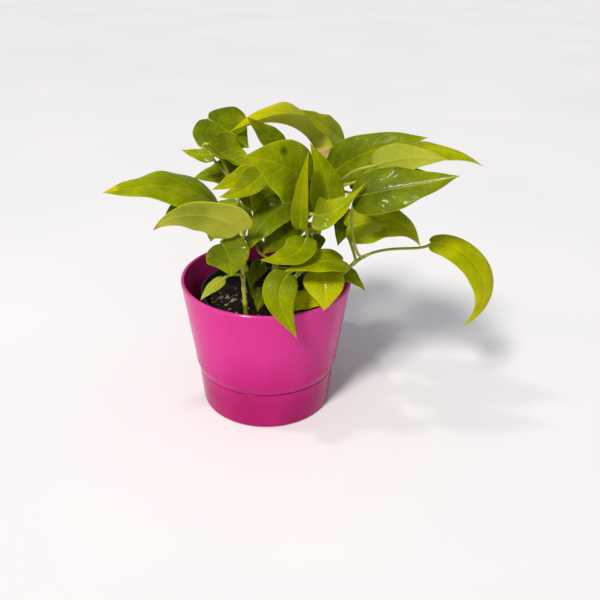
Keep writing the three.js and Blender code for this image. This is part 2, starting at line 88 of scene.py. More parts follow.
BLADE_FOLD = 15
BLADE_CURL = 25
BLADE_LOBE = 0.1
BLADE_SHOULDER = 0.25
BLADE_BASE = 0.45
BLADE_THICKNESS = 0.5
EDGE_THICKNESS = 0.2
BASE_TO_TIP = 0.3  # How much more golden a blade's tip is than its base.
BLADE_STATIONS = 44
BLADE_COLUMNS = 30
VEINS = 9  # Main veins on each half of a blade.
FINE_VEINS = 7  # Fine veins to each main one.
VEIN_LEAN = 0.3  # How far a vein has run towards the tip when it meets the margin.
CUSHIONS = 0.14  # Height of the flesh between the main veins.
MARGIN_WAVE = 0.03  # Height of the margin's waves, as a share of the blade's width.
WAVES_LEFT, WAVES_RIGHT = 2.3, 2.7
CHANNEL_WIDTH = 0.9
CHANNEL_DEPTH = 0.3
RIB_DEPTH = 0.45
HOOK_START = 0.86

# Each stem is named, then passes through these points from root to top.
STEMS = {
    "front_left": [(-15, -42, 78), (-16, -44, 104), (-18, -41, 142), (-16, -34, 168)],
    "left": [(-8, 4, 78), (-16, 2, 116), (-23, -4, 154), (-20, -8, 186)],
    "centre": [(2, -14, 78), (6, -14, 125), (14, -8, 170), (24, 4, 206)],
    "right": [(30, 2, 78), (36, 2, 120), (44, 4, 158), (50, 9, 184)],
    "right_low": [(26, -26, 78), (40, -33, 106), (56, -35, 130), (73, -36, 147)],
    "front": [(8, -32, 78), (10, -34, 104), (20, -38, 128), (34, -40, 146)],
    "back": [(4, 26, 78), (8, 28, 104), (9, 28, 126), (10, 26, 144)],
}

# Each leaf: width, the way its upper face looks at the base and, where it twists, at the tip,
# tone from deep green to golden, midrib points from base to tip, and the stem and place that its
# petiole leaves. Some have their own fold and curl (degrees), shoulder, base, lobe, wave or hook,
# lift and side of the petiole where it starts, age, or spots: place, reach and change of tone.
LEAVES = [
    dict(name="far_left", width=46, face=(0, -0.35, 1), curl=35, tone=0.58, age=0.45,
         spots=[(-108, -40, 202, 4, 0.35)],
         rib=[(-40, -11, 180), (-63, -23, 196), (-90, -35, 201), (-115, -45, 200)],
         stem="left", at=0.9),
    dict(name="front_left", width=34, face=(0.1, 0.85, 0.25), fold=6, curl=22, lobe=0.02,
         tone=0.85, age=0.9, hook=3, spots=[(-52, -64, 194, 14, -0.42)],
         rib=[(-18, -56, 176), (-34, -61, 188), (-56, -67, 192), (-78, -70, 183)],
         stem="front_left", at=1),
    dict(name="upper_left", width=48, face=(0.1, -0.6, 0.8), fold=5, curl=15, shoulder=0.4,
         base=0.4, tone=0.39,
         rib=[(-44, 21, 236), (-30, 11, 230), (-13, 3, 219)],
         stem="left", at=1, lift=-0.4, side=0.5),
    dict(name="left_mid", width=36, face=(0.5, -0.55, 1), fold=40, curl=10, lobe=0.02, tone=0.6,
         shiny=True,
         rib=[(-42, -9, 225), (-25, -12, 214), (-8, -14, 210)],
         stem="left", at=1, lift=0.8, side=-0.5),
    dict(name="left_small", width=12, face=(0, -0.7, 0.7), fold=5, curl=20, lobe=0.02, tone=0.72,
         shiny=True,
         rib=[(-38, -18, 220), (-49, -17, 220), (-62, -16, 223)], stem="left", at=1, lift=-0.4),
    dict(name="top_centre", width=52, face=(0.05, -0.1, 1), fold=46, curl=8, lobe=0.05, tone=1.03,
         shiny=True, wave=0.6,
         rib=[(42, 50, 203), (29, 42, 221), (6, 22, 234), (-28, 2, 231)], stem="centre", at=1),
    dict(name="top_right", width=28, face=(0.45, -0.6, 0.7), curl=20, base=0.35, tone=0.71,
         rib=[(61, 34, 217), (45, 17, 232), (24, -2, 250)], stem="right", at=1),
    dict(name="centre_front", width=45, face=(0.1, -0.8, 0.55), fold=5, tone=0.56,
         # Its spot is a small blemish, drawn only as painted shade of a dent.
         spots=[(12, -61, 236, 3, -0.42)],
         rib=[(27, -54, 213), (9, -66, 228), (-15, -75, 236)],
         stem="centre", at=0.9, lift=0, side=1),
    dict(name="centre_edge", width=14, face=(-0.3, -0.85, 0.4), fold=25, curl=10, base=0.5,
         tone=0.68,
         rib=[(24, -56, 179), (24, -68, 208), (27, -78, 241)], stem="centre", at=0.7, lift=1.4),
    dict(name="centre_back", width=27, face=(0.1, -0.85, 0.4), fold=10, curl=30, shoulder=0.3,
         base=0.5, tone=0.55,
         rib=[(45, -32, 181), (43, -26, 204), (31, -20, 230)], stem="right", at=0.8),
    dict(name="right_upper", width=35, face=(-0.1, -0.75, 0.65), curl=30, tone=0.44,
         rib=[(50, 5, 198), (69, 1, 214), (94, -3, 225), (120, -7, 231)], stem="right", at=1),
    dict(name="right_long", width=34, face=(0, -0.35, 1), curl=50, tone=0.62, age=0.3,
         rib=[(73, -19, 208), (99, -29, 225), (124, -37, 230), (153, -45, 221)],
         stem="right", at=1, side=1),
    dict(name="right_pale", width=24, face=(0, 0.75, -0.6), fold=10, curl=20, tone=0.6,
         rib=[(77, -41, 220), (100, -45, 227), (126, -49, 227)], stem="right", at=0.9),
    dict(name="right_glossy", width=37, face=(0, -0.6, 0.75), tone=0.45, shiny=True,
         rib=[(63, -57, 203), (84, -63, 210), (107, -67, 216), (129, -71, 223)],
         stem="right_low", at=1, lift=-0.8),
    dict(name="right_behind", width=22, face=(0.1, -0.5, 0.8), curl=20, tone=0.3, shiny=True,
         rib=[(67, -9, 191), (96, -11, 205), (131, -13, 202)], stem="right", at=1),
    dict(name="right_lower", width=36, face=(0.1, -0.6, 0.75), curl=30, tone=0.8, shiny=True,
         rib=[(62, -29, 168), (82, -35, 176), (100, -39, 174), (115, -41, 158)],
         stem="right_low", at=0.9),
    dict(name="folded_v", width=24, face=(-0.1, -0.85, 0.45), tip_face=(0, 0.15, 1), fold=10,
         curl=-10, shoulder=0.15, base=0.6, lobe=0, tone=0.68, shiny=True,
         rib=[(32, -68, 194), (49, -66, 197), (68, -60, 215)], stem="front", at=0.9, side=-0.5),
    dict(name="shaded_mid", width=40, face=(-0.2, -0.7, 0.6), curl=20, tone=0.6,
         rib=[(10, -3, 194), (0, -9, 186), (-10, -15, 169)], stem="centre", at=0.8),
    dict(name="low_left", width=28, face=(-0.5, -0.7, 0.5), fold=10, curl=20, tone=0.45,
         rib=[(16, -28, 189), (-3, -40, 175), (-15, -50, 156)], stem="centre", at=0.9),
    dict(name="low_mid", width=30, face=(0.2, -0.8, 0.5), curl=20, tone=0.3,
         rib=[(14, -32, 177), (8, -38, 165), (-3, -43, 152)], stem="centre", at=0.7),
    dict(name="front_fold", width=24, face=(-0.1, -0.6, 0.8), fold=20, curl=10, tone=0.62,
         rib=[(28, -53, 168), (17, -63, 160), (-5, -69, 160)], stem="front", at=0.9),
    dict(name="front_flat", width=25, face=(0, -0.4, 0.9), curl=20, tone=0.64,
         spots=[(24, -63, 156, 8, -0.12)],
         rib=[(56, -49, 150), (36, -61, 154), (12, -70, 151)], stem="right_low", at=0.8),
    dict(name="over_rim", width=25, face=(-0.1, -0.8, 0.5), curl=30, tone=0.56, wave=0.3,
         rib=[(15, -66, 147), (9, -76, 136), (13, -81, 122), (22, -82, 103)],
         stem="front", at=0.9),
    dict(name="yellow_glossy", width=32, face=(0.1, -0.6, 0.7), curl=30, tone=0.95, shiny=True,
         rib=[(41, -50, 141), (43, -60, 130), (42, -66, 117)], stem="front", at=0.8),
    dict(name="at_rim", width=19, face=(0.1, -0.5, 0.8), tone=0.85,
         rib=[(19, -44, 114), (31, -50, 116), (42, -54, 115)], stem="front", at=0.4),
    dict(name="right_of_rim", width=17, face=(0.3, -0.5, 0.8), tone=0.6, age=0.3,
         rib=[(57, -16, 125), (68, -20, 122), (79, -24, 111)], stem="right_low", at=0.3),
    dict(name="far_right", width=25, face=(0.1, -0.6, 0.8), tip_face=(0.45, -0.85, 0.25), fold=10,
         curl=30, shoulder=0.5, base=0.4, lobe=0.08, tone=0.8, wave=0.2,
         spots=[(134, -30, 154, 13, 0.2)],
         rib=[(127, -26, 154), (153, -34, 147), (170, -38, 120), (156, -36, 84)],
         stem="right_low", at=1),
    dict(name="small_round", width=33, face=(-0.1, -0.8, 0.55), fold=18, curl=10, shoulder=0.45,
         base=0.6, lobe=0.06, tone=0.52, shiny=True,
         rib=[(-32, -50, 164), (-27, -56, 155), (-26, -61, 143)], stem="front_left", at=0.9),
    dict(name="tiny_pale", width=10, face=(0.2, 0.6, -0.8), tone=0.55,
         rib=[(-32, -50, 135), (-42, -54, 129), (-49, -57, 121)], stem="front_left", at=0.6),
    dict(name="behind_left", width=16, face=(-0.2, -0.7, 0.7), tone=0.35,
         rib=[(-34, -22, 164), (-40, -25, 162), (-42, -27, 155)], stem="left", at=0.7),
    dict(name="dark_left", width=26, face=(0, -0.6, 0.8), curl=20, lobe=0.02, tone=0.5,
         rib=[(-20, 2, 201), (-37, 4, 199), (-57, 6, 194)], stem="left", at=1),
    dict(name="rolled_one", width=20, face=(0, -0.6, 0.8), fold=30, curl=5, lobe=0.02, tone=0.75,
         rib=[(-6, -26, 208), (-22, -29, 203), (-40, -32, 198)], stem="left", at=1),
    dict(name="rolled_two", width=22, face=(0, -0.6, 0.8), fold=25, curl=5, lobe=0.02, tone=0.55,
         rib=[(-2, -36, 214), (-16, -42, 202), (-34, -44, 197)], stem="left", at=1),
    dict(name="dark_fold", width=20, face=(0.5, -0.8, 0.5), fold=20, curl=10, lobe=0.02, tone=0.5,
         shiny=True,
         rib=[(11, -10, 222), (-2, -12, 234), (-14, -15, 247)], stem="centre", at=1),
    dict(name="at_soil", width=13, face=(0, -0.7, 0.7), tone=0.35,
         rib=[(-2, -38, 120), (-5, -41, 113), (-7, -44, 104)], stem="front", at=0.5),
    dict(name="inner_left", width=13, face=(0, -0.8, 0.6), tone=0.3,
         rib=[(-4, -30, 139), (-8, -33, 132), (-11, -36, 123)], stem="centre", at=0.4),
    dict(name="hanging_tip", width=7, face=(0.3, -0.7, 0.6), tone=0.3,
         rib=[(-63, -6, 182), (-71, -8, 176), (-79, -10, 167)], stem="left", at=0.8, lift=0),
    dict(name="inner_right", width=20, face=(0.2, -0.8, 0.5), tone=0.3,
         rib=[(64, -13, 173), (59, -17, 163), (55, -21, 149)], stem="right", at=0.8),
    dict(name="inner_mid", width=20, face=(0, -0.8, 0.6), tone=0.3,
         rib=[(34, -34, 163), (35, -38, 156), (38, -42, 150)], stem="front", at=1),
    dict(name="inner_dark", width=30, face=(0, -0.8, 0.6), tone=0.25,
         rib=[(27, 22, 174), (24, 18, 160), (19, 14, 145)], stem="back", at=1, lift=-0.4, side=1),
    dict(name="back_low", width=38, face=(0, 0.4, 0.9), tone=0.5,
         rib=[(6, 39, 156), (10, 71, 163), (2, 105, 140)], stem="back", at=0.9),
    dict(name="back_left", width=34, face=(-0.2, 0.3, 0.9), tone=0.55, age=0.4,
         rib=[(-20, 43, 145), (-43, 68, 151), (-60, 91, 131)], stem="back", at=0.8),
    dict(name="back_right", width=36, face=(0.2, 0.3, 0.9), tone=0.45,
         rib=[(30, 35, 167), (46, 61, 174), (57, 87, 152)], stem="back", at=1, lift=-0.4),
    dict(name="back_inner", width=30, face=(-0.1, 0.1, 1), tone=0.6,
         rib=[(-4, 22, 164), (-16, 38, 176), (-30, 58, 174)], stem="back", at=1, lift=-0.4),
    dict(name="back_hanging", width=28, face=(0.2, 0.6, 0.6), tone=0.4,
         rib=[(34, 62, 132), (42, 84, 124), (44, 96, 96)], stem="back", at=0.6),
    dict(name="back_upper", width=32, face=(-0.1, 0.25, 1), tone=0.6,
         rib=[(22, 26, 190), (12, 46, 202), (-4, 68, 196)], stem="centre", at=1),
    dict(name="back_side", width=30, face=(-0.3, 0.1, 1), tone=0.5,
         rib=[(-24, 14, 148), (-40, 28, 156), (-54, 44, 148)], stem="left", at=0.5),
    dict(name="back_small", width=18, face=(0, 0.4, 0.9), tone=0.4,
         rib=[(-8, 44, 120), (-14, 58, 122), (-24, 72, 118)], stem="back", at=0.4),
]

BRACT_CORNERS = [(50.4, 12, 217.9), (37.3, 11, 216.5), (45.3, 10, 205.8)]
BRACT_THICKNESS = 0.3


def linear(code):
    """Turns an sRGB hex colour into the linear one that shaders and lights take."""
    parts = [int(code[i:i + 2], 16) / 255 for i in (0, 2, 4)]
    return [p / 12.92 if p <= 0.04045 else ((p + 0.055) / 1.055) ** 2.4 for p in parts] + [1.0]


def add(tree, kind, inputs, stops=(), **settings):
    """Adds a node: its settings, then each input by name or number as a value or a link."""
    made = tree.nodes.new(kind)
    for name, value in settings.items():
        setattr(made, name, value)
    for key, value in inputs.items():
        if isinstance(value, bpy.types.NodeSocket):
            tree.links.new(value, made.inputs[key])
        else:
            made.inputs[key].default_value = value
    if stops:
        bands = made.color_ramp.elements
        while len(bands) < len(stops):
            bands.new(1.0)
        for band, (place, code) in zip(bands, stops):
            band.position = place
            band.color = linear(code)
    return made


def new_surface(name, **values):
    """A material with one surface shader, its constant values set on the shader's own sockets."""
    material = bpy.data.materials.new(name)
    material.use_nodes = True
    tree = material.node_tree
    shader = tree.nodes["Principled BSDF"]
    for socket, value in values.items():
        shader.inputs[socket.replace("_", " ")].default_value = value
    return material, tree, shader


# ---- Materials ----
def leaf_skin(name, stops, roughness, shine, vein_height, flesh, gloss_coat):
    """Living leaf: waxed cuticle over thin flesh.

    The eye gets a yellow-green that drifts in soft blotches, faintly lighter veins that arch
    from the midrib to the margin, a pale margin line, a waxy sheen, and light that comes
    through the blade where the sun is behind it.
    """
    material, tree, shader = new_surface(
        name, IOR=1.4, Specular_IOR_Level=shine, Coat_Weight=gloss_coat, Coat_Roughness=0.12,
        Coat_IOR=1.4, Subsurface_Weight=flesh, Subsurface_Radius=(0.9, 1.0, 0.05),
        Subsurface_Scale=0.9 * MM)
    shares = add(tree, "ShaderNodeUVMap", {}, uv_map="shares")
    parts = add(tree, "ShaderNodeSeparateXYZ", {0: shares.outputs["UV"]})
    share, along = parts.outputs["X"], parts.outputs["Y"]
    measures = add(tree, "ShaderNodeUVMap", {}, uv_map="measures")
    metres = add(tree, "ShaderNodeSeparateXYZ", {0: measures.outputs["UV"]})
    place = add(tree, "ShaderNodeTexCoord", {}).outputs["Object"]
    tone = add(tree, "ShaderNodeAttribute", {}, attribute_name="tone").outputs["Fac"]
    age = add(tree, "ShaderNodeAttribute", {}, attribute_name="age").outputs["Fac"]

    # Main veins 5 to 10 mm apart, and fine ones about 1 mm apart.
    arch = add(tree, "ShaderNodeMath", {0: share, 1: -VEIN_LEAN, 2: along},
               operation="MULTIPLY_ADD")
    main_gap = add(tree, "ShaderNodeMath", {0: arch.outputs[0], 1: 0.5 / VEINS},
                   operation="PINGPONG")
    main = add(tree, "ShaderNodeMapRange", {0: main_gap.outputs[0], 1: 0, 2: 0.016, 3: 1, 4: 0},
               interpolation_type="SMOOTHSTEP").outputs[0]
    half_fine = 0.5 / (FINE_VEINS * VEINS)
    fine_gap = add(tree, "ShaderNodeMath", {0: arch.outputs[0], 1: half_fine},
                   operation="PINGPONG")
    fine = add(tree, "ShaderNodeMapRange", {0: fine_gap.outputs[0], 1: 0, 2: half_fine},
               interpolation_type="SMOOTHSTEP").outputs[0]
    rib = add(tree, "ShaderNodeMapRange",
              {0: metres.outputs["X"], 1: 0.3 * MM, 2: 1.1 * MM, 3: 1, 4: 0},
              interpolation_type="SMOOTHSTEP").outputs[0]
    margin = add(tree, "ShaderNodeMapRange", {0: share, 1: 0.955, 2: 0.995},
                 interpolation_type="SMOOTHSTEP").outputs[0]

    # Blotches 14 mm across, and a grain of 2.5 mm in the wax.
    blotch = add(tree, "ShaderNodeTexNoise",
                 {"Vector": place, "Scale": 1 / (14 * MM), "Detail": 4, "Roughness": 0.62})
    grain = add(tree, "ShaderNodeTexNoise",
                {"Vector": place, "Scale": 1 / (2.5 * MM), "Detail": 4, "Roughness": 0.65})
    level = tone
    for source, amount in ((blotch.outputs["Fac"], 0.6), (grain.outputs["Fac"], 0.14),
                           (main, 0.06), (fine, -0.1), (rib, 0.12), (margin, 0.35)):
        level = add(tree, "ShaderNodeMath", {0: source, 1: amount, 2: level},
                    operation="MULTIPLY_ADD").outputs[0]
    noise_middle = 0.37
    level = add(tree, "ShaderNodeMath", {0: level, 1: noise_middle},
                operation="SUBTRACT").outputs[0]
    living = add(tree, "ShaderNodeValToRGB", {0: level}, stops=stops)
    dying = add(tree, "ShaderNodeValToRGB", {0: age},
                stops=[(0.0, "b8b41c"), (0.45, "c0a02c"), (0.8, "7a5a2c"), (1.0, "4c3a22")])
    ageing = add(tree, "ShaderNodeMapRange", {0: age, 1: 0.02, 2: 0.4})
    colour = add(tree, "ShaderNodeMix",
                 {0: ageing.outputs[0], 6: living.outputs["Color"], 7: dying.outputs["Color"]},
                 data_type="RGBA")
    tree.links.new(colour.outputs[2], shader.inputs["Base Color"])

    gloss = add(tree, "ShaderNodeMapRange",
                {0: grain.outputs["Fac"], 1: 0.3, 2: 0.7,
                 3: roughness - 0.05, 4: roughness + 0.08})
    tree.links.new(gloss.outputs[0], shader.inputs["Roughness"])

    # Wrinkles 4 mm across lie between the veins.
    wrinkles = add(tree, "ShaderNodeTexNoise",
                   {"Vector": place, "Scale": 1 / (4 * MM), "Detail": 2})
    height = add(tree, "ShaderNodeMath", {0: main, 1: -0.6}, operation="MULTIPLY").outputs[0]
    for source, amount in ((fine, 0.2), (grain.outputs["Fac"], 0.35),
                           (wrinkles.outputs["Fac"], 0.9)):
        height = add(tree, "ShaderNodeMath", {0: source, 1: amount, 2: height},
                     operation="MULTIPLY_ADD").outputs[0]
    relief = add(tree, "ShaderNodeBump",
                 {"Distance": vein_height * MM, "Height": height})
    tree.links.new(relief.outputs["Normal"], shader.inputs["Normal"])

    # The same wrinkles in the wax, 0.16 mm deep, break a glint up into flecks.
    wrinkled = add(tree, "ShaderNodeBump",
                   {"Distance": 0.16 * MM, "Height": wrinkles.outputs["Fac"]})
    tree.links.new(wrinkled.outputs["Normal"], shader.inputs["Coat Normal"])
    return material


def stem_skin():
    """Living stem and petiole: thin skin, ribbed over long fibres.

    The eye gets long streaks, a paler node with a tan scar round it, a greener foot and a dull
    satin shine.
    """
    material, tree, shader = new_surface(
        "stem_skin_ribbed", IOR=1.45, Specular_IOR_Level=0.2, Subsurface_Weight=0.2,
        Subsurface_Radius=(0.9, 1.0, 0.2), Subsurface_Scale=1.2 * MM)
    measures = add(tree, "ShaderNodeUVMap", {}, uv_map="measures")
    place = add(tree, "ShaderNodeTexCoord", {}).outputs["Object"]
    tone = add(tree, "ShaderNodeAttribute", {}, attribute_name="tone").outputs["Fac"]
    age = add(tree, "ShaderNodeAttribute", {}, attribute_name="age").outputs["Fac"]
    # Streaks 0.5 mm wide and 12 mm long.
    stretch = add(tree, "ShaderNodeMapping",
                  {"Vector": measures.outputs["UV"], "Scale": (1 / (0.5 * MM), 1 / (12 * MM), 1)})
    streak = add(tree, "ShaderNodeTexNoise",
                 {"Vector": stretch.outputs[0], "Scale": 1, "Detail": 2})
    patch = add(tree, "ShaderNodeTexNoise", {"Vector": place, "Scale": 1 / (9 * MM), "Detail": 2})
    level = add(tree, "ShaderNodeMath", {0: streak.outputs["Fac"], 1: 0.35, 2: tone},
                operation="MULTIPLY_ADD").outputs[0]
    level = add(tree, "ShaderNodeMath", {0: patch.outputs["Fac"], 1: 0.3, 2: level},
                operation="MULTIPLY_ADD").outputs[0]
    noise_middle = 0.33
    level = add(tree, "ShaderNodeMath", {0: level, 1: noise_middle},
                operation="SUBTRACT").outputs[0]
    green = add(tree, "ShaderNodeValToRGB", {0: level},
                stops=[(0.0, "56700a"), (0.35, "8e962a"), (0.7, "b2b446"), (1.0, "cec868")])
    scar = add(tree, "ShaderNodeMix",
               {0: age, 6: green.outputs["Color"], 7: linear("8a6a3a")}, data_type="RGBA")
    tree.links.new(scar.outputs[2], shader.inputs["Base Color"])
    gloss = add(tree, "ShaderNodeMapRange",
                {0: streak.outputs["Fac"], 1: 0.3, 2: 0.7, 3: 0.38, 4: 0.52})
    tree.links.new(gloss.outputs[0], shader.inputs["Roughness"])
    relief = add(tree, "ShaderNodeBump",
                 {"Distance": 0.12 * MM, "Height": streak.outputs["Fac"]})
    tree.links.new(relief.outputs["Normal"], shader.inputs["Normal"])
    return material


def glazed_earthenware():
    """Cachepot: earthenware under a fired magenta glaze.

    The eye gets a pink that a painted reflection deepens towards the foot, a soft gloss with a
    bright edge at the rim, a faint ripple where the glaze ran, and a darker line where it pooled
    in the crease.
    """
    material, tree, shader = new_surface(
        "earthenware_glazed_magenta", IOR=1.5, Specular_IOR_Level=0.14, Coat_Roughness=0.12,
        Coat_IOR=1.5)
    place = add(tree, "ShaderNodeTexCoord", {}).outputs["Object"]
    # Runs of glaze 30 mm across and 60 mm tall, and orange peel of 3 mm.
    stretch = add(tree, "ShaderNodeMapping",
                  {"Vector": place, "Scale": (1 / (30 * MM), 1 / (30 * MM), 1 / (60 * MM))})
    runs = add(tree, "ShaderNodeTexNoise", {"Vector": stretch.outputs[0], "Scale": 1, "Detail": 2})
    peel = add(tree, "ShaderNodeTexNoise", {"Vector": place, "Scale": 1 / (3 * MM), "Detail": 2})
    thick = add(tree, "ShaderNodeAttribute", {}, attribute_name="pooled").outputs["Fac"]
    height = add(tree, "ShaderNodeSeparateXYZ", {0: place}).outputs["Z"]
    # Painted reflection in thin: darker near the foot, paler from 20 mm up to 80 mm.
    thin = add(tree, "ShaderNodeMapRange", {0: height, 1: 20 * MM, 2: 80 * MM, 3: 0.05, 4: 0.6})
    # The rounded rim shines more than the wall.
    rim = add(tree, "ShaderNodeMapRange", {0: height, 1: 112 * MM, 2: 113 * MM, 3: 0.02, 4: 0.7})
    tree.links.new(rim.outputs[0], shader.inputs["Coat Weight"])
    level = add(tree, "ShaderNodeMath", {0: runs.outputs["Fac"], 1: 0.4, 2: thin.outputs[0]},
                operation="MULTIPLY_ADD").outputs[0]
    even = add(tree, "ShaderNodeValToRGB", {0: level},
               stops=[(0.2, "a00c5c"), (0.5, "bc1c76"), (0.8, "cf3088")])
    colour = add(tree, "ShaderNodeMix",
                 {0: thick, 6: even.outputs["Color"], 7: linear("5c0a34")}, data_type="RGBA")
    tree.links.new(colour.outputs[2], shader.inputs["Base Color"])
    gloss = add(tree, "ShaderNodeMapRange",
                {0: peel.outputs["Fac"], 1: 0.3, 2: 0.7, 3: 0.14, 4: 0.22})
    tree.links.new(gloss.outputs[0], shader.inputs["Roughness"])
    relief = add(tree, "ShaderNodeBump",
                 {"Strength": 0.6, "Distance": 0.05 * MM, "Height": peel.outputs["Fac"]})
    tree.links.new(relief.outputs["Normal"], shader.inputs["Normal"])
    return material


def moulded_polypropylene():
    """Nursery pot: thin moulded polypropylene, dark green.

    The eye gets a dull plastic with fine drag lines round it and a little dry soil dust.
    """
    material, tree, shader = new_surface("polypropylene_moulded_green", IOR=1.49)
    place = add(tree, "ShaderNodeTexCoord", {}).outputs["Object"]
    # Drag lines 1.2 mm apart up the wall, dust in 6 mm patches.
    stretch = add(tree, "ShaderNodeMapping",
                  {"Vector": place, "Scale": (1 / (40 * MM), 1 / (40 * MM), 1 / (1.2 * MM))})
    drag = add(tree, "ShaderNodeTexNoise", {"Vector": stretch.outputs[0], "Scale": 1, "Detail": 2})
    dust = add(tree, "ShaderNodeTexNoise", {"Vector": place, "Scale": 1 / (6 * MM), "Detail": 4})
    dusty = add(tree, "ShaderNodeMapRange",
                {0: dust.outputs["Fac"], 1: 0.55, 2: 0.75, 3: 0, 4: 0.35})
    colour = add(tree, "ShaderNodeMix",
                 {0: dusty.outputs[0], 6: linear("12302a"), 7: linear("5a5040")},
                 data_type="RGBA")
    tree.links.new(colour.outputs[2], shader.inputs["Base Color"])
    gloss = add(tree, "ShaderNodeMapRange",
                {0: drag.outputs["Fac"], 1: 0.3, 2: 0.7, 3: 0.35, 4: 0.5})
    tree.links.new(gloss.outputs[0], shader.inputs["Roughness"])
    relief = add(tree, "ShaderNodeBump",
                 {"Distance": 0.08 * MM, "Height": drag.outputs["Fac"]})
    tree.links.new(relief.outputs["Normal"], shader.inputs["Normal"])
    return material


def rough_grains(name, stops, grain_size, relief_height):
    """Loose matter in the pot, such as sifted compost, chipped or bleached bark or perlite.

    The eye gets crumbs of mixed colour with no shine and deep shade between them.
    """
    material, tree, shader = new_surface(name, IOR=1.5, Roughness=0.95, Specular_IOR_Level=0.2)
    place = add(tree, "ShaderNodeTexCoord", {}).outputs["Object"]
    cells = add(tree, "ShaderNodeTexVoronoi", {"Vector": place, "Scale": 1 / (grain_size * MM)})
    crumb = add(tree, "ShaderNodeTexNoise",
                {"Vector": place, "Scale": 1 / (grain_size * MM), "Detail": 5, "Roughness": 0.7})
    pick = add(tree, "ShaderNodeMix",
               {0: 0.5, 6: cells.outputs["Color"], 7: crumb.outputs["Color"]}, data_type="RGBA")
    colour = add(tree, "ShaderNodeValToRGB", {0: pick.outputs[2]}, stops=stops)
    tree.links.new(colour.outputs["Color"], shader.inputs["Base Color"])
    relief = add(tree, "ShaderNodeBump",
                 {"Distance": relief_height * MM, "Height": crumb.outputs["Fac"]})
    tree.links.new(relief.outputs["Normal"], shader.inputs["Normal"])
    return material


def dried_bract():
    """Bract: a leaf sheath dried to paper.

    The eye gets a tan sheet, thin enough to glow, with fibres along it.
    """
    material, tree, shader = new_surface(
        "bract_dried_papery", IOR=1.45, Roughness=0.75, Subsurface_Weight=0.35,
        Subsurface_Radius=(1.0, 0.7, 0.35), Subsurface_Scale=0.8 * MM)
    place = add(tree, "ShaderNodeTexCoord", {}).outputs["Object"]
    # Fibres 0.6 mm apart, 8 mm long.
    stretch = add(tree, "ShaderNodeMapping",
                  {"Vector": place, "Rotation": (0, math.radians(50), 0),
                   "Scale": (1 / (8 * MM), 1 / (3 * MM), 1 / (0.6 * MM))})
    fibre = add(tree, "ShaderNodeTexNoise",
                {"Vector": stretch.outputs[0], "Scale": 1, "Detail": 3})
    colour = add(tree, "ShaderNodeValToRGB", {0: fibre.outputs["Fac"]},
                 stops=[(0.25, "8c6a34"), (0.5, "c8ac62"), (0.75, "dcc888")])
    tree.links.new(colour.outputs["Color"], shader.inputs["Base Color"])
    relief = add(tree, "ShaderNodeBump",
                 {"Distance": 0.3 * MM, "Height": fibre.outputs["Fac"]})
    tree.links.new(relief.outputs["Normal"], shader.inputs["Normal"])
    return material


# ---- Shape helpers: points are arrays in millimetres ----
def unit(vector):
    return vector / np.linalg.norm(vector, axis=-1, keepdims=True)


def through(points, t):
    """Points at t, from 0 to 1, on the smooth curve through evenly spaced points."""
    points = np.array(points, float)
    marks = np.linspace(0, 1, len(points))
    total = np.zeros((len(t), 3))
    for i, point in enumerate(points):
        weight = np.ones(len(t))
        for j, mark in enumerate(marks):
            if j != i:
                weight = weight * (t - mark) / (marks[i] - mark)
        total += weight[:, None] * point
    return total


def ring_faces(rows, columns):
    """Four-sided faces between rings of points, each ring closed on itself."""
    row, column = np.meshgrid(np.arange(rows - 1), np.arange(columns), indexing="ij")
    here = row * columns + column
    beside = row * columns + (column + 1) % columns
    return np.stack([here, beside, beside + columns, here + columns], -1).reshape(-1, 4)


def rounded(corners, step):
    """Rounds a profile's corners, then fills its straights so that points lie step apart."""
    turned = []
    for i, (radius, height, rounding) in enumerate(corners):
        corner = np.array((radius, height), float)
        if rounding == 0:
            turned.append(corner)
            continue
        back = unit(np.array(corners[i - 1][:2]) - corner)
        ahead = unit(np.array(corners[i + 1][:2]) - corner)
        half = math.acos(float(np.clip(back @ ahead, -1, 1))) / 2
        centre = corner + unit(back + ahead) * rounding / math.sin(half)
        reach = rounding / math.tan(half)
        for t in np.linspace(0, 1, 7):
            spoke = (1 - t) * (corner + back * reach) + t * (corner + ahead * reach) - centre
            turned.append(centre + unit(spoke) * rounding)
    filled = [turned[0]]
    for start, end in zip(turned, turned[1:]):
        pieces = max(1, math.ceil(np.linalg.norm(end - start) / step))
        filled += [start + (end - start) * k / pieces for k in range(1, pieces + 1)]
    return np.array(filled)


def lathe(corners, turns, step, offset=0):
    """Points and faces of a profile turned round the upright axis."""
    profile = rounded(corners, step)
    angle = np.linspace(0, 2 * math.pi, turns, endpoint=False)
    radius, height = profile[:, 0, None], profile[:, 1, None]
    points = np.stack([radius * np.cos(angle) + offset, radius * np.sin(angle),
                       height + 0 * angle], -1)
    return points.reshape(-1, 3), ring_faces(len(profile), turns)


def tube(path, radius, sides, groove=0.0):
    """Points, faces and measures of a closed tube; groove cuts a channel along its upper side."""
    along = unit(np.gradient(path, axis=0))
    top = np.array((0.0, 0.0, 1.0)) if abs(along[0][2]) < 0.9 else np.array((0.0, -1.0, 0.0))
    angle = np.linspace(0, 2 * math.pi, sides, endpoint=False)
    dip = 1 - groove * np.exp(-(((angle + math.pi) % (2 * math.pi) - math.pi) / 0.55) ** 2)
    points, measures = [], []
    run = np.concatenate([[0], np.cumsum(np.linalg.norm(np.diff(path, axis=0), axis=1))])
    for centre, ahead, reach, length in zip(path, along, radius, run):
        top = unit(top - ahead * (top @ ahead))
        beside = np.cross(ahead, top)
        spokes = np.cos(angle)[:, None] * top + np.sin(angle)[:, None] * beside
        points.append(centre + spokes * (reach * dip)[:, None])
        measures.append(np.stack([angle * reach, np.full(sides, length)], -1))
    points = np.concatenate([path[:1].repeat(sides, 0), *points, path[-1:].repeat(sides, 0)])
    measures = np.concatenate([measures[0], *measures, measures[-1]])
    return points, ring_faces(len(path) + 2, sides), measures


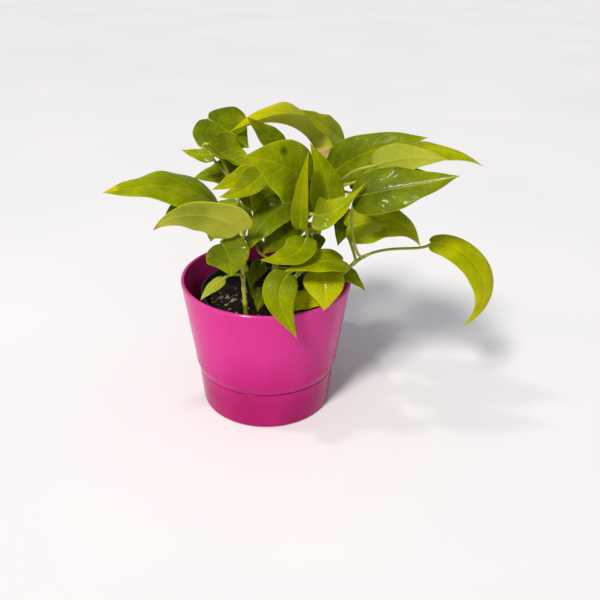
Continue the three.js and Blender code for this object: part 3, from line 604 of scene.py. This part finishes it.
def join(parts):
    """One set of arrays from several (points, faces, ...) sets."""
    starts = np.cumsum([0] + [len(part[0]) for part in parts[:-1]])
    joined = [np.concatenate([part[0] for part in parts]),
              np.concatenate([part[1] + start for part, start in zip(parts, starts)])]
    joined += [np.concatenate([part[k] for part in parts]) for k in range(2, len(parts[0]))]
    return joined


def hang(name, points, faces, skins, slot, nodes, skin_of_face=None, uvs=None, values=None):
    """Makes a mesh piece, hangs it on the root body and puts it in the place of its nodes."""
    mesh = bpy.data.meshes.new(name)
    mesh.from_pydata((points * MM).tolist(), [], faces.tolist())
    for skin in skins:
        mesh.materials.append(skin)
    if skin_of_face is not None:
        mesh.polygons.foreach_set("material_index", skin_of_face)
    corner_points = np.zeros(len(mesh.loops), np.int32)
    mesh.loops.foreach_get("vertex_index", corner_points)
    for layer, coordinates in (uvs or {}).items():
        mesh.uv_layers.new(name=layer).data.foreach_set("uv", coordinates[corner_points].ravel())
    for attribute, numbers in (values or {}).items():
        made = mesh.attributes.new(attribute, "FLOAT", "POINT")
        made.data.foreach_set("value", np.broadcast_to(numbers, len(points)).astype(np.float32))
    clean = bmesh.new()
    clean.from_mesh(mesh)
    bmesh.ops.remove_doubles(clean, verts=clean.verts, dist=1e-7)
    bmesh.ops.recalc_face_normals(clean, faces=clean.faces)
    clean.to_mesh(mesh)
    clean.free()
    mesh.shade_smooth()
    piece = bpy.data.objects.new(name, mesh)
    bpy.context.scene.collection.objects.link(piece)
    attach(piece, "root")
    if nodes:
        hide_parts(*nodes)
    return piece


# ---- Blades ----
def outline(leaf, u):
    """Half width along the midrib as a share of the greatest: full shoulder, drawn-out tip."""
    shoulder = leaf.get("shoulder", BLADE_SHOULDER)
    base = leaf.get("base", BLADE_BASE)
    rising = base + (1 - base) * np.sqrt(1 - (1 - np.minimum(u / shoulder, 1)) ** 2)
    beyond = np.clip((u - shoulder) / (1 - shoulder), 0, 1)
    return np.where(u < shoulder, rising, (1 - beyond ** 1.55) ** 1.15)


def rib_frame(leaf, u):
    """Midrib points with the directions along, across and out of the upper face."""
    step = 1e-3
    along = unit(through(leaf["rib"], u + step) - through(leaf["rib"], u - step))
    face = unit(np.array(leaf["face"], float))
    tip_face = unit(np.array(leaf.get("tip_face", leaf["face"]), float))
    facing = unit(face * (1 - u[:, None]) + tip_face * u[:, None])
    across = unit(np.cross(along, facing))
    return through(leaf["rib"], u), along, across, np.cross(across, along)


def blade(leaf):
    """Builds one blade: folded, curled, veined and slightly wavy, with its own underside."""
    # Stations crowd towards the base, and columns towards the midrib.
    s = np.linspace(0, 0.997, BLADE_STATIONS)
    u = s ** 1.3
    even = np.linspace(-1, 1, BLADE_COLUMNS + 1)
    side = even * (0.4 + 0.6 * even ** 2)
    centre, along, across, out = rib_frame(leaf, u)
    fold = math.radians(leaf.get("fold", BLADE_FOLD))
    curl = math.radians(leaf.get("curl", BLADE_CURL))
    share = np.abs(side)
    half = (leaf["width"] / 2 * outline(leaf, u))[:, None]
    reach = np.sign(side) * (math.sin(fold) - np.sin(fold - curl * share)) / curl * half
    rise = (np.cos(fold - curl * share) - math.cos(fold)) / curl * half
    lobe = leaf.get("lobe", BLADE_LOBE) * leaf["width"] * np.sin(0.75 * math.pi * share)
    back = lobe * (np.clip(1 - u / 0.4, 0, 1) ** 2)[:, None]

    # Waves of the margin, cushions between the veins and the channel of the midrib.
    phase = chance.uniform(0, 2 * math.pi, 2)
    waves = np.where(side < 0, np.sin(2 * math.pi * WAVES_LEFT * u[:, None] + phase[0]),
                     np.sin(2 * math.pi * WAVES_RIGHT * u[:, None] + phase[1]))
    ease = np.sin(math.pi * np.clip(u, 0, 1))[:, None]
    wavy = MARGIN_WAVE * leaf["width"] * leaf.get("wave", 1) * waves * share ** 3 * ease
    cushions = CUSHIONS * np.cos(2 * math.pi * VEINS * (u[:, None] - VEIN_LEAN * share))
    cushions = -cushions * np.sin(math.pi * share) * ease * min(1, leaf["width"] / 30)
    offset = side * half
    channel = np.exp(-(offset / CHANNEL_WIDTH) ** 2) * (1 - 0.7 * u[:, None])
    bent = np.clip((u - HOOK_START) / (1 - HOOK_START), 0, 1) ** 2
    hook = leaf.get("hook", 0) * bent[:, None]
    middle = (centre[:, None] + across[:, None] * reach[..., None]
              + out[:, None] * (rise + wavy + cushions - hook)[..., None]
              - along[:, None] * (back + 0.4 * hook)[..., None])
    # The last eighth thins out to the tip.
    fade = np.minimum(1, 8 * (1 - s))[:, None]
    thick = (EDGE_THICKNESS + (BLADE_THICKNESS - EDGE_THICKNESS) * (1 - share ** 2)) / 2 * fade
    upper = middle + out[:, None] * (thick - CHANNEL_DEPTH * channel * fade)[..., None]
    lower = middle - out[:, None] * (thick + RIB_DEPTH * channel * fade)[..., None]
    points = np.concatenate([upper, lower[:, ::-1]], 1)

    ring = points.shape[1]
    last = BLADE_STATIONS - 1
    faces = ring_faces(BLADE_STATIONS, ring)
    column = np.arange(BLADE_COLUMNS)
    base_cap = np.stack([column + 1, column, ring - 1 - column, ring - 2 - column], -1)
    tip_cap = base_cap[:, ::-1] + last * ring
    under = np.tile(np.arange(ring) > BLADE_COLUMNS, last) & np.tile(
        np.arange(ring) < ring - 1, last)
    skin_of_face = np.concatenate([under, np.zeros(2 * BLADE_COLUMNS, bool)]).astype(np.int32)

    both = np.concatenate([share, share[::-1]])
    shares = np.stack(np.broadcast_arrays(both, u[:, None]), -1).reshape(-1, 2)
    lengths = np.concatenate([np.abs(offset), np.abs(offset[:, ::-1])], 1) * MM
    measures = np.stack(np.broadcast_arrays(lengths, u[:, None]), -1).reshape(-1, 2)
    # An old leaf is brown at its tip.
    old = leaf.get("age", 0) * np.clip((u - 0.9) / 0.08, 0, 1)
    age = np.broadcast_to(old[:, None], (BLADE_STATIONS, ring)).ravel()
    skins = [UPPER_SHINY if leaf.get("shiny") else UPPER_WAXY, UNDERSIDE]
    run = np.broadcast_to(u[:, None], (BLADE_STATIONS, ring)).ravel()
    tone = leaf["tone"] + chance.uniform(-0.04, 0.04) + BASE_TO_TIP * (run - 0.45)
    places = points.reshape(-1, 3)
    for x, y, z, spread, change in leaf.get("spots", ()):
        away = np.linalg.norm(places - (x, y, z), axis=1)
        tone = tone + change * np.exp(-(away / spread) ** 4)
    hang("blade_" + leaf["name"], places, np.concatenate([faces, base_cap, tip_cap]),
         skins, "leaf", ["leaf_" + leaf["name"]], skin_of_face,
         {"shares": shares, "measures": measures}, {"tone": tone, "age": age})


# ---- Stems and petioles ----
def petiole_path(leaf):
    """From the stem up to the blade's base, then on under the midrib."""
    start = through(STEMS[leaf["stem"]], np.array([float(leaf["at"])]))[0]
    base, along, across, out = (rows[0] for rows in rib_frame(leaf, np.zeros(1)))
    end = base - PETIOLE_BACK * along - PETIOLE_BELOW * out
    span = np.linalg.norm(end - start)
    toward = unit(end - start)
    sideways = unit(np.cross(toward, (0, 0, 1)))
    departure = unit(toward + sideways * leaf.get("side", 0)
                     + np.array((0, 0, leaf.get("lift", PETIOLE_LIFT))))
    arrival = unit(along + 0.9 * out)
    t = np.linspace(0, 1, PETIOLE_STATIONS)[:, None]
    first, second = start + departure * span * 0.4, end - arrival * span * 0.3
    path = ((1 - t) ** 3 * start + 3 * (1 - t) ** 2 * t * first
            + 3 * (1 - t) * t ** 2 * second + t ** 3 * end)
    u = np.linspace(0.02, RIB_RUN, 6)
    rib, _, _, rib_out = rib_frame(leaf, u)
    return np.concatenate([path, rib - rib_out * RIB_SUNK]), len(path)


def vine(name):
    """One rooted vine: stem with nodes and root nubs, and every petiole that grows from it."""
    path = through(STEMS[name], np.linspace(0, 1, STEM_STATIONS))
    run = np.concatenate([[0], np.cumsum(np.linalg.norm(np.diff(path, axis=0), axis=1))])
    grown = [leaf for leaf in LEAVES if leaf["stem"] == name]
    marks = sorted({round(leaf["at"], 2) for leaf in grown} | set(STEM_NODES))
    near = sum(np.exp(-((run - mark * run[-1]) / NODE_LENGTH) ** 2) for mark in marks)
    radius = STEM_RADIUS * (1 - STEM_TAPER * run / run[-1])
    radius += NODE_SWELLING * np.minimum(near, 1)
    radius[-3:] *= (0.9, 0.7, 0.4)
    points, faces, measures = tube(path, radius, STEM_SIDES, STEM_GROOVE)
    ringed = np.concatenate([near[:1], near, near[-1:]]).repeat(STEM_SIDES)
    # Below its second node a stem is greener.
    green = np.clip((STEM_NODES[1] * run[-1] - run) / NODE_LENGTH, 0, 1)
    green = np.concatenate([green[:1], green, green[-1:]]).repeat(STEM_SIDES)
    tone = STEM_TONES.get(name, 0.5) + 0.3 * np.minimum(ringed, 1) - 0.55 * green
    parts = [(points, faces, measures * MM, tone, 0.35 * np.minimum(ringed, 1) ** 3)]
    for leaf in grown:
        path, joint = petiole_path(leaf)
        # Swollen where it leaves the stem and just short of the blade.
        t = np.arange(len(path)) / (joint - 1)
        radius = PETIOLE_RADIUS + 0.5 * np.exp(-(t / 0.05) ** 2)
        radius += 0.16 * np.exp(-((t - 0.93) / 0.05) ** 2)
        radius[joint:] = np.linspace(0.7, 0.25, len(path) - joint)
        points, faces, measures = tube(path, radius, PETIOLE_SIDES, PETIOLE_GROOVE)
        level = np.full(len(points), 0.55 + chance.uniform(-0.1, 0.12))
        parts.append((points, faces, measures * MM, level, np.zeros(len(points))))
    for mark in marks:
        spot = through(STEMS[name], np.array([mark]))[0]
        turn = chance.uniform(0, 2 * math.pi)
        away = np.array((math.cos(turn), math.sin(turn), -0.35))
        nub = spot + np.linspace(*NUB_REACH, len(NUB_RADII))[:, None] * away
        points, faces, measures = tube(nub, np.array(NUB_RADII), NUB_SIDES)
        parts.append((points, faces, measures * MM, np.full(len(points), 0.4),
                      np.full(len(points), 0.8)))
    points, faces, measures, tone, age = join(parts)
    hang("stems_" + name, points, faces, [STEM_SKIN], "stem", ["vine_" + name], None,
         {"measures": measures}, {"tone": tone, "age": age})


# ---- Pots, compost and bract ----
def pots():
    """The glazed cachepot and, a little off its middle, the nursery pot."""
    points, faces = lathe(CACHEPOT, 256, 2)
    radius = np.hypot(points[:, 0], points[:, 1])
    pooled = np.exp(-((points[:, 2] - CREASE_HEIGHT) / POOLED_GLAZE) ** 2)
    pooled = pooled * (radius > CREASE_INNER_RADIUS)
    hang("pot_glazed", points, faces, [glazed_earthenware()], "pot_glaze", ["cachepot"],
         values={"pooled": pooled})
    points, faces = lathe(NURSERY_POT, 160, 3, NURSERY_OFFSET)
    hang("pot_nursery", points, faces, [moulded_polypropylene()], "nursery_plastic",
         ["nursery_pot"])


def compost_height(x, y):
    """Lumps of the compost's surface at a place, in millimetres."""
    coarse = noise.noise(Vector((x / 9, y / 9, 0)))
    fine = noise.noise(Vector((x / 2.5, y / 2.5, 5)))
    return COMPOST_LUMPS * (0.6 * coarse + 0.4 * fine) - 0.4


def scatter(count, length, dents, low, high, middle=(0, 0), furthest=49):
    """Crumbs strewn over the compost: each a dented pebble, turned at random and half sunk.

    Their lengths lie between two numbers, their widths and heights between the shares low and
    high of that, and their places no further than furthest from the middle.
    """
    pebble = bmesh.new()
    bmesh.ops.create_icosphere(pebble, subdivisions=1, radius=1)
    shape = np.array([vertex.co for vertex in pebble.verts])
    sides = np.array([[vertex.index for vertex in face.verts] for face in pebble.faces])
    pebble.free()
    parts = []
    for _ in range(count):
        away = furthest * math.sqrt(chance.uniform(0.0, 1.0))
        turn = chance.uniform(0, 2 * math.pi)
        x, y = middle[0] + away * math.cos(turn), middle[1] + away * math.sin(turn)
        reach = math.hypot(x, y)
        x += NURSERY_OFFSET
        size = chance.uniform(*length) / 2
        dented = shape * (1 + dents * chance.uniform(-1, 1, (len(shape), 1)))
        scaled = dented * size * np.array(
            (1, chance.uniform(low, high), chance.uniform(low, high)))
        tilt = Matrix.Rotation(chance.uniform(-0.5, 0.5), 3, "X")
        swing = Matrix.Rotation(turn * 7, 3, "Z")
        placed = scaled @ np.array(swing @ tilt).T
        fall = COMPOST_FALL * (reach / COMPOST_RADIUS) ** 2
        ground = COMPOST[3][1] - fall + compost_height(x, y)
        parts.append((placed + (x, y, ground + CRUMB_LIFT * size), sides))
    return join(parts)


def compost():
    """Lumpy compost with bark and perlite strewn over it."""
    points, faces = lathe(COMPOST, 220, 0.9, NURSERY_OFFSET)
    for point in points:
        if point[2] > COMPOST_TOP:
            point[2] += compost_height(point[0], point[1])
    hang("compost_sifted", points, faces,
         [rough_grains("compost_sifted", [(0.3, "080604"), (0.5, "130d09"), (0.7, "281e16")],
                       1.6, 0.9)], "soil", ["potting_soil"])
    bark = rough_grains("bark_chipped", [(0.3, "1e140c"), (0.5, "4a3624"), (0.75, "8a6e50")],
                        2.2, 0.5)
    pale = rough_grains("bark_bleached", [(0.3, "4a3a2a"), (0.5, "94806a"), (0.75, "c8b496")],
                        2.2, 0.5)
    hang("bark_chips", *scatter(90, (1.2, 4.6), 0.35, 0.2, 0.6), [bark], "soil", [])
    hang("bark_by_the_wall", *scatter(26, (1.6, 5.2), 0.4, 0.2, 0.5, (-34, -1), 11), [pale],
         "soil", [])
    perlite = rough_grains("perlite_puffed", [(0.3, "b8b0a4"), (0.6, "e8e4dc")], 0.8, 0.2)
    hang("perlite_grains", *scatter(12, (1.2, 2.4), 0.18, 0.6, 0.95), [perlite], "soil", [])


def bract():
    """A dry sheath: a thin three-cornered sheet that bellies forward."""
    first, second, third = (np.array(corner, float) for corner in BRACT_CORNERS)
    normal = unit(np.cross(second - first, third - first))
    t = np.linspace(0.02, 1, 14)
    across = np.linspace(0, 1, 12)
    rows = []
    for reach in t:
        row = third + reach * ((1 - across)[:, None] * (first - third)
                               + across[:, None] * (second - third))
        belly = 0.9 * np.sin(math.pi * across) * reach + 0.25 * np.sin(9 * across + 5 * reach)
        rows.append(row + normal * (0.45 + belly)[:, None] * 0.6)
    front = np.array(rows)
    back = front - normal * BRACT_THICKNESS
    points = np.concatenate([front, back[:, ::-1]], 1)
    ring = points.shape[1]
    column = np.arange(len(across) - 1)
    cap = np.stack([column + 1, column, ring - 1 - column, ring - 2 - column], -1)
    faces = np.concatenate([ring_faces(len(t), ring), cap,
                            cap[:, ::-1] + (len(t) - 1) * ring])
    hang("bract_dry", points.reshape(-1, 3), faces, [dried_bract()], "bract", ["dry_bract"])


# ---- Studio ----
def studio():
    """Camera at the photograph's angle, a wide pale floor, a soft sky, sun and soft box."""
    pitch, yaw, roll = 0.493898, 0.054087, 0.024313
    ahead = Vector((math.sin(yaw) * math.cos(pitch), math.cos(yaw) * math.cos(pitch),
                    -math.sin(pitch)))
    right = Vector((math.cos(yaw), -math.sin(yaw), 0))
    up = right.cross(ahead)
    right, up = (right * math.cos(roll) + up * math.sin(roll),
                 up * math.cos(roll) - right * math.sin(roll))
    lens = bpy.data.cameras.new("camera")
    lens.lens = 42
    lens.sensor_width = 36
    lens.clip_end = 50
    camera = bpy.data.objects.new("camera", lens)
    turn = Matrix((right, up, -ahead)).transposed().to_4x4()
    camera.matrix_world = Matrix.Translation((0, -516.278 * MM, 369.021 * MM)) @ turn
    bpy.context.scene.collection.objects.link(camera)
    bpy.context.scene.camera = camera

    paper, tree, shader = new_surface("paper_matte_pale", Roughness=0.9, Specular_IOR_Level=0.1)
    place = add(tree, "ShaderNodeTexCoord", {}).outputs["Object"]
    fibre = add(tree, "ShaderNodeTexNoise", {"Vector": place, "Scale": 3, "Detail": 2})
    shade = add(tree, "ShaderNodeValToRGB", {0: fibre.outputs["Fac"]},
                stops=[(0.3, "e6e6e7"), (0.7, "ebeaea")])
    tree.links.new(shade.outputs["Color"], shader.inputs["Base Color"])
    sheet = bpy.data.meshes.new("floor")
    sheet.from_pydata([(-9, -6, 0), (9, -6, 0), (9, 14, 0), (-9, 14, 0)], [], [(0, 1, 2, 3)])
    sheet.materials.append(paper)
    floor = bpy.data.objects.new("floor", sheet)
    bpy.context.scene.collection.objects.link(floor)

    sky = bpy.data.worlds.new("soft_sky")
    sky.use_nodes = True
    sky.node_tree.nodes["Background"].inputs["Color"].default_value = linear("f2f4ff")
    sky.node_tree.nodes["Background"].inputs["Strength"].default_value = 0.4
    bpy.context.scene.world = sky

    for name, kind, place, settings in (
            ("sun", "SUN", (-0.42, -0.68, 1.0), {"energy": 3.0, "angle": math.radians(12)}),
            ("soft_box", "AREA", (-0.28, -0.13, 1.02),
             {"energy": 1.6, "shape": "RECTANGLE", "size": 0.06, "size_y": 0.05})):
        light = bpy.data.lights.new(name, kind)
        for setting, value in settings.items():
            setattr(light, setting, value)
        light.color = linear("fffaf4")[:3]
        lamp = bpy.data.objects.new(name, light)
        lamp.location = place
        lamp.rotation_euler = (Vector((0, 0, 0.14)) - Vector(place)).to_track_quat(
            "-Z", "Y").to_euler()
        bpy.context.scene.collection.objects.link(lamp)
    bpy.context.scene.view_settings.view_transform = "Standard"


UPPER_STOPS = [(0.0, "333d00"), (0.3, "576300"), (0.55, "7b8700"), (0.8, "9fa500"),
               (1.0, "bbb800")]
UPPER_WAXY = leaf_skin("leaf_cuticle_waxed", UPPER_STOPS, 0.38, 0.06, 0.22, 0.4, 0.04)
UPPER_SHINY = leaf_skin("leaf_cuticle_polished", UPPER_STOPS, 0.3, 0.06, 0.26, 0.4, 0.2)
UNDER_STOPS = [(0.0, "626a14"), (0.5, "969c2c"), (1.0, "bcbc40")]
UNDERSIDE = leaf_skin("leaf_underside_matte", UNDER_STOPS, 0.58, 0.08, 0.2, 0.6, 0.0)
STEM_SKIN = stem_skin()
STEM_TONES = {"right_low": 0.3, "front_left": 0.7}

studio()
pots()
compost()
for stem_name in STEMS:
    vine(stem_name)
for leaf_row in LEAVES:
    blade(leaf_row)
bract()
